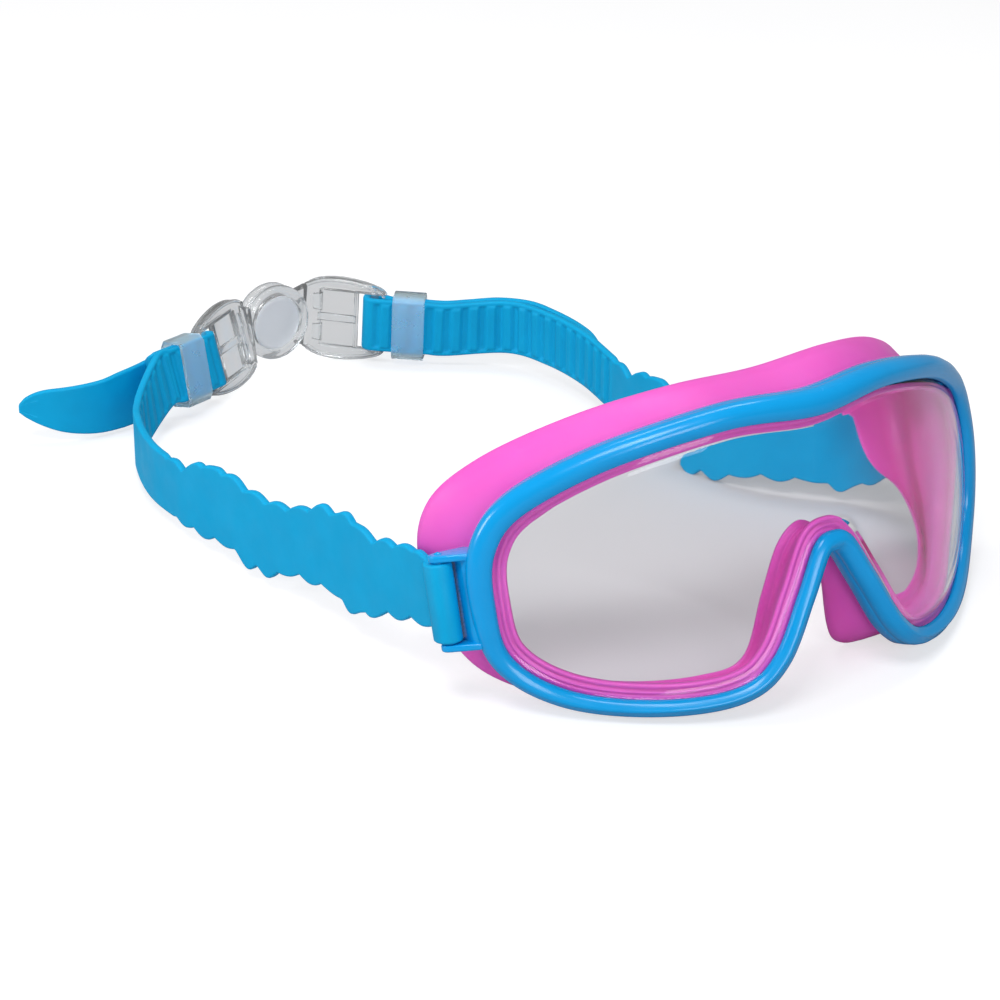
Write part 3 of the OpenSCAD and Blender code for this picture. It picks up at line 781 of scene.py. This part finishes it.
def strap_rings(stations):
    """Sections of the strap, with rounded edges. The ribs on one side stop short of them."""
    p, w = stations["p"], unit(stations["w"])
    n = unit(np.cross(unit(np.gradient(p, axis=0)), w))
    top, bottom = stations["top"], stations["bottom"]
    relief = RIB_H * stations["rib"] - GROOVE_H * stations["groove"]
    mid, half = (top - bottom) / 2, np.maximum((top + bottom) / 2, 0.6)
    t = STRAP_T / 2
    ribbed, plain = [], []
    inset = [0.5, 0.75, 1.0, 1.3, 1.7, 2.3, 3.2]
    across = [("top", d) for d in inset] + [("mid", f) for f in (0.45, 0.2, 0, -0.2, -0.45)] + \
             [("bottom", d) for d in inset[::-1]]

    def point(side, width):
        return p + side[:, None] * n + width[:, None] * w

    def width_at(kind, value):
        if kind == "mid":
            return mid + half * value
        d = np.minimum(value, half * 0.5)
        return mid + half - d if kind == "top" else mid - half + d

    for kind, value in across:
        fade = 1.0 if kind == "mid" else smoothstep((value - 0.9) / 0.7)
        ribbed.append(point(t + relief * fade, width_at(kind, value)))
        plain.append(point(np.full_like(half, -t), width_at(kind, value)))
    r = np.minimum(0.5, half * 0.4)

    def corner(side, end, angle):
        a = math.radians(angle)
        width = mid + end * (half - r + r * math.sin(a))
        return point(side * (t - r + r * math.cos(a)), width)

    top_edge = [corner(1, 1, 45), corner(1, 1, 90), corner(-1, 1, 90), corner(-1, 1, 45)]
    bottom_edge = [corner(-1, -1, 45), corner(-1, -1, 90), corner(1, -1, 90), corner(1, -1, 45)]
    return np.stack(ribbed[::-1] + top_edge + plain + bottom_edge, axis=1)


def strap_loop(path):
    """Thick end moulded round the lug bar, with a soft shoulder down to the strap."""
    first, later = path[0], path[16]
    turn = math.degrees(math.atan2(later[0] - first[0], later[1] - first[1]))
    spin = rot("Z", -turn)
    outline = arc(2.9, 180, 360, 24) + [(2.75, 1.6), (2.2, 3.0), (1.5, 4.4), (1.1, 5.4),
                                              (-1.1, 5.4), (-1.5, 4.4), (-2.4, 3.2), (-2.85, 1.6)]
    return plate_part(outline, [], 2 * END_HALF_H, 0.7,
                      lambda p: at_lug(np.column_stack([p[:, 0], p[:, 2], -p[:, 1]]) @ spin.T))


def make_strap(name, route, h, heading, free_tail, mirror, body, node):
    path = main_route(route, h, heading)
    if free_tail:
        tail = open_curve(tail_start(h, heading) + [np.array(p, float) for p in free_tail], 10)
    else:
        tail = laid_tail(path, h, heading)
    sections = [main_stations(path, h), fold_stations(h, heading), tail_stations(tail, h)]
    stations = {k: np.concatenate([s[k] for s in sections]) for k in sections[0]}
    rings = strap_rings(stations)
    parts = [(rings.reshape(-1, 3), tube(rings, False)), strap_loop(path)]
    finish_piece(new_object(*join(name, parts), mirror=mirror), body, "strap_blue", node)


def make_keeper(name, h, heading, mirror, body, node):
    """A sleeve round both layers of a strap, with chamfered corners and rounded ends."""
    out = strap_out(h, heading)
    up = np.cross(heading, out)
    deep = (STRAP_T + LAYER_STEP) / 2 + RIB_H + KEEPER_CLEAR
    tall = RIB_HALF_W + KEEPER_CLEAR
    centre = main_end(h, heading) - (KEEPER_FROM + KEEPER_LEN / 2) * heading + out * LAYER_STEP / 2

    def cut_box(x, z, c):
        return [(x, z - c), (x, c - z), (x - c * 0.7, -z), (c * 0.7 - x, -z), (-x, c - z), (-x, z - c),
                (c * 0.7 - x, z), (x - c * 0.7, z)]

    def put(p):
        # The plate is drawn across the sleeve, and its thickness runs along the strap
        return centre + np.outer(p[:, 0], out) + np.outer(p[:, 2], up) + np.outer(p[:, 1], heading)

    sleeve = cut_box(deep + KEEPER_WALL, tall + KEEPER_WALL, 1.8)
    part = plate_part(sleeve, [cut_box(deep, tall, 0.6)], KEEPER_LEN, 0.3, put)
    finish_piece(new_object(name, *part, mirror=mirror), body, "keeper_frost", node)


# Stage, light and camera

FLOOR_HALF = 3.0
FLOOR_GLOW = 0.62
FLOOR_GLOW_THROUGH = 0.16
WORLD_STRENGTH = 0.27


def make_stage():
    """A pale floor, lit by the lights and by a glow of its own."""
    corners = [(x * FLOOR_HALF, y * FLOOR_HALF, 0) for x, y in ((-1, -1), (1, -1), (1, 1), (-1, 1))]
    mesh = bpy.data.meshes.new("floor")
    mesh.from_pydata(corners, [], [(0, 1, 2, 3)])
    floor = bpy.data.objects.new("floor", mesh)
    bpy.context.scene.collection.objects.link(floor)
    look = Look("floor_white", (0.48, 0.48, 0.49), 0.9, Specular_IOR_Level=0.1)
    look.colour((0.47, 0.47, 0.48), (0.49, 0.49, 0.5), 3)
    # The glow is seen, more dimly through clear plastic, but doesn't light the goggles
    path = look.nodes.new("ShaderNodeLightPath").outputs
    through = look.arithmetic("MULTIPLY", path["Is Transmission Ray"], FLOOR_GLOW_THROUGH)
    glow = look.arithmetic("MULTIPLY_ADD", path["Is Camera Ray"], FLOOR_GLOW, through)
    look.links.new(glow, look.shader.inputs["Emission Strength"])
    look.shader.inputs["Emission Color"].default_value = (1, 1, 1, 1)
    floor.data.materials.append(look.mat)


def make_light(name, at, target, size, watts):
    light = bpy.data.lights.new(name, "AREA")
    light.shape = "RECTANGLE"
    light.size, light.size_y = size
    light.energy = watts
    obj = bpy.data.objects.new(name, light)
    obj.location = at
    obj.rotation_euler = (Vector(target) - Vector(at)).to_track_quat("-Z", "Y").to_euler()
    bpy.context.scene.collection.objects.link(obj)


def make_lights():
    """Soft boxes above and in front, and a low light from the side that brings out the ribs."""
    scene = bpy.context.scene
    world = bpy.data.worlds.new("studio")
    world.use_nodes = True
    background = world.node_tree.nodes["Background"]
    background.inputs["Color"].default_value = (1, 1, 1, 1)
    background.inputs["Strength"].default_value = WORLD_STRENGTH
    scene.world = world
    make_light("key_softbox", (-0.45, -0.35, 0.9), (0, 0, 0.03), (0.45, 0.3), 4.6)
    make_light("top_softbox", (0.15, 0.25, 1.0), (0, 0, 0.03), (0.7, 0.2), 3.2)
    make_light("front_fill", (-0.35, -0.95, 0.4), (0, 0, 0.03), (0.4, 0.4), 3.5)
    make_light("left_rake", (-0.8, 0.35, 0.3), (-0.03, 0.05, 0.02), (0.15, 0.3), 2.6)
    scene.view_settings.view_transform = "Standard"
    scene.view_settings.look = "None"


def make_camera():
    """The photographed view: 34.4 degrees to the wearer's right of the front, 24.3 degrees up."""
    azimuth, elevation = math.radians(-34.423), math.radians(24.322)
    distance, aside, above = 710.96, -74.59, 9.87
    back = np.array([math.sin(azimuth) * math.cos(elevation), -math.cos(azimuth) * math.cos(elevation),
                     math.sin(elevation)])
    right = unit(np.cross([0, 0, 1], back))
    up = np.cross(back, right)
    at = place(distance * back + aside * right + above * up)
    data = bpy.data.cameras.new("photo_view")
    data.lens = 115.2
    data.sensor_width = 36
    data.clip_start = 0.01
    camera = bpy.data.objects.new("photo_view", data)
    turn = Matrix((right, up, back)).transposed()
    camera.matrix_world = Matrix.Translation(at) @ turn.to_4x4()
    bpy.context.scene.collection.objects.link(camera)
    bpy.context.scene.camera = camera


def make_object():
    make_rim()
    make_lens()
    make_skirt()
    make_clasp()
    make_strap("strap_of_wearers_right", RIGHT_ROUTE, RIGHT_HALF, RIGHT_END_DIR, RIGHT_TAIL, False,
               "right_strap", "strap_right")
    make_strap("strap_of_wearers_left", LEFT_ROUTE, LEFT_HALF, LEFT_END_DIR, None, True,
               "left_strap", "strap_left")
    make_keeper("keeper_of_wearers_right", RIGHT_HALF, RIGHT_END_DIR, False, "right_keeper", "keeper_right")
    make_keeper("keeper_of_wearers_left", LEFT_HALF, LEFT_END_DIR, True, "left_keeper", "keeper_left")


make_object()
make_stage()
make_lights()
make_camera()
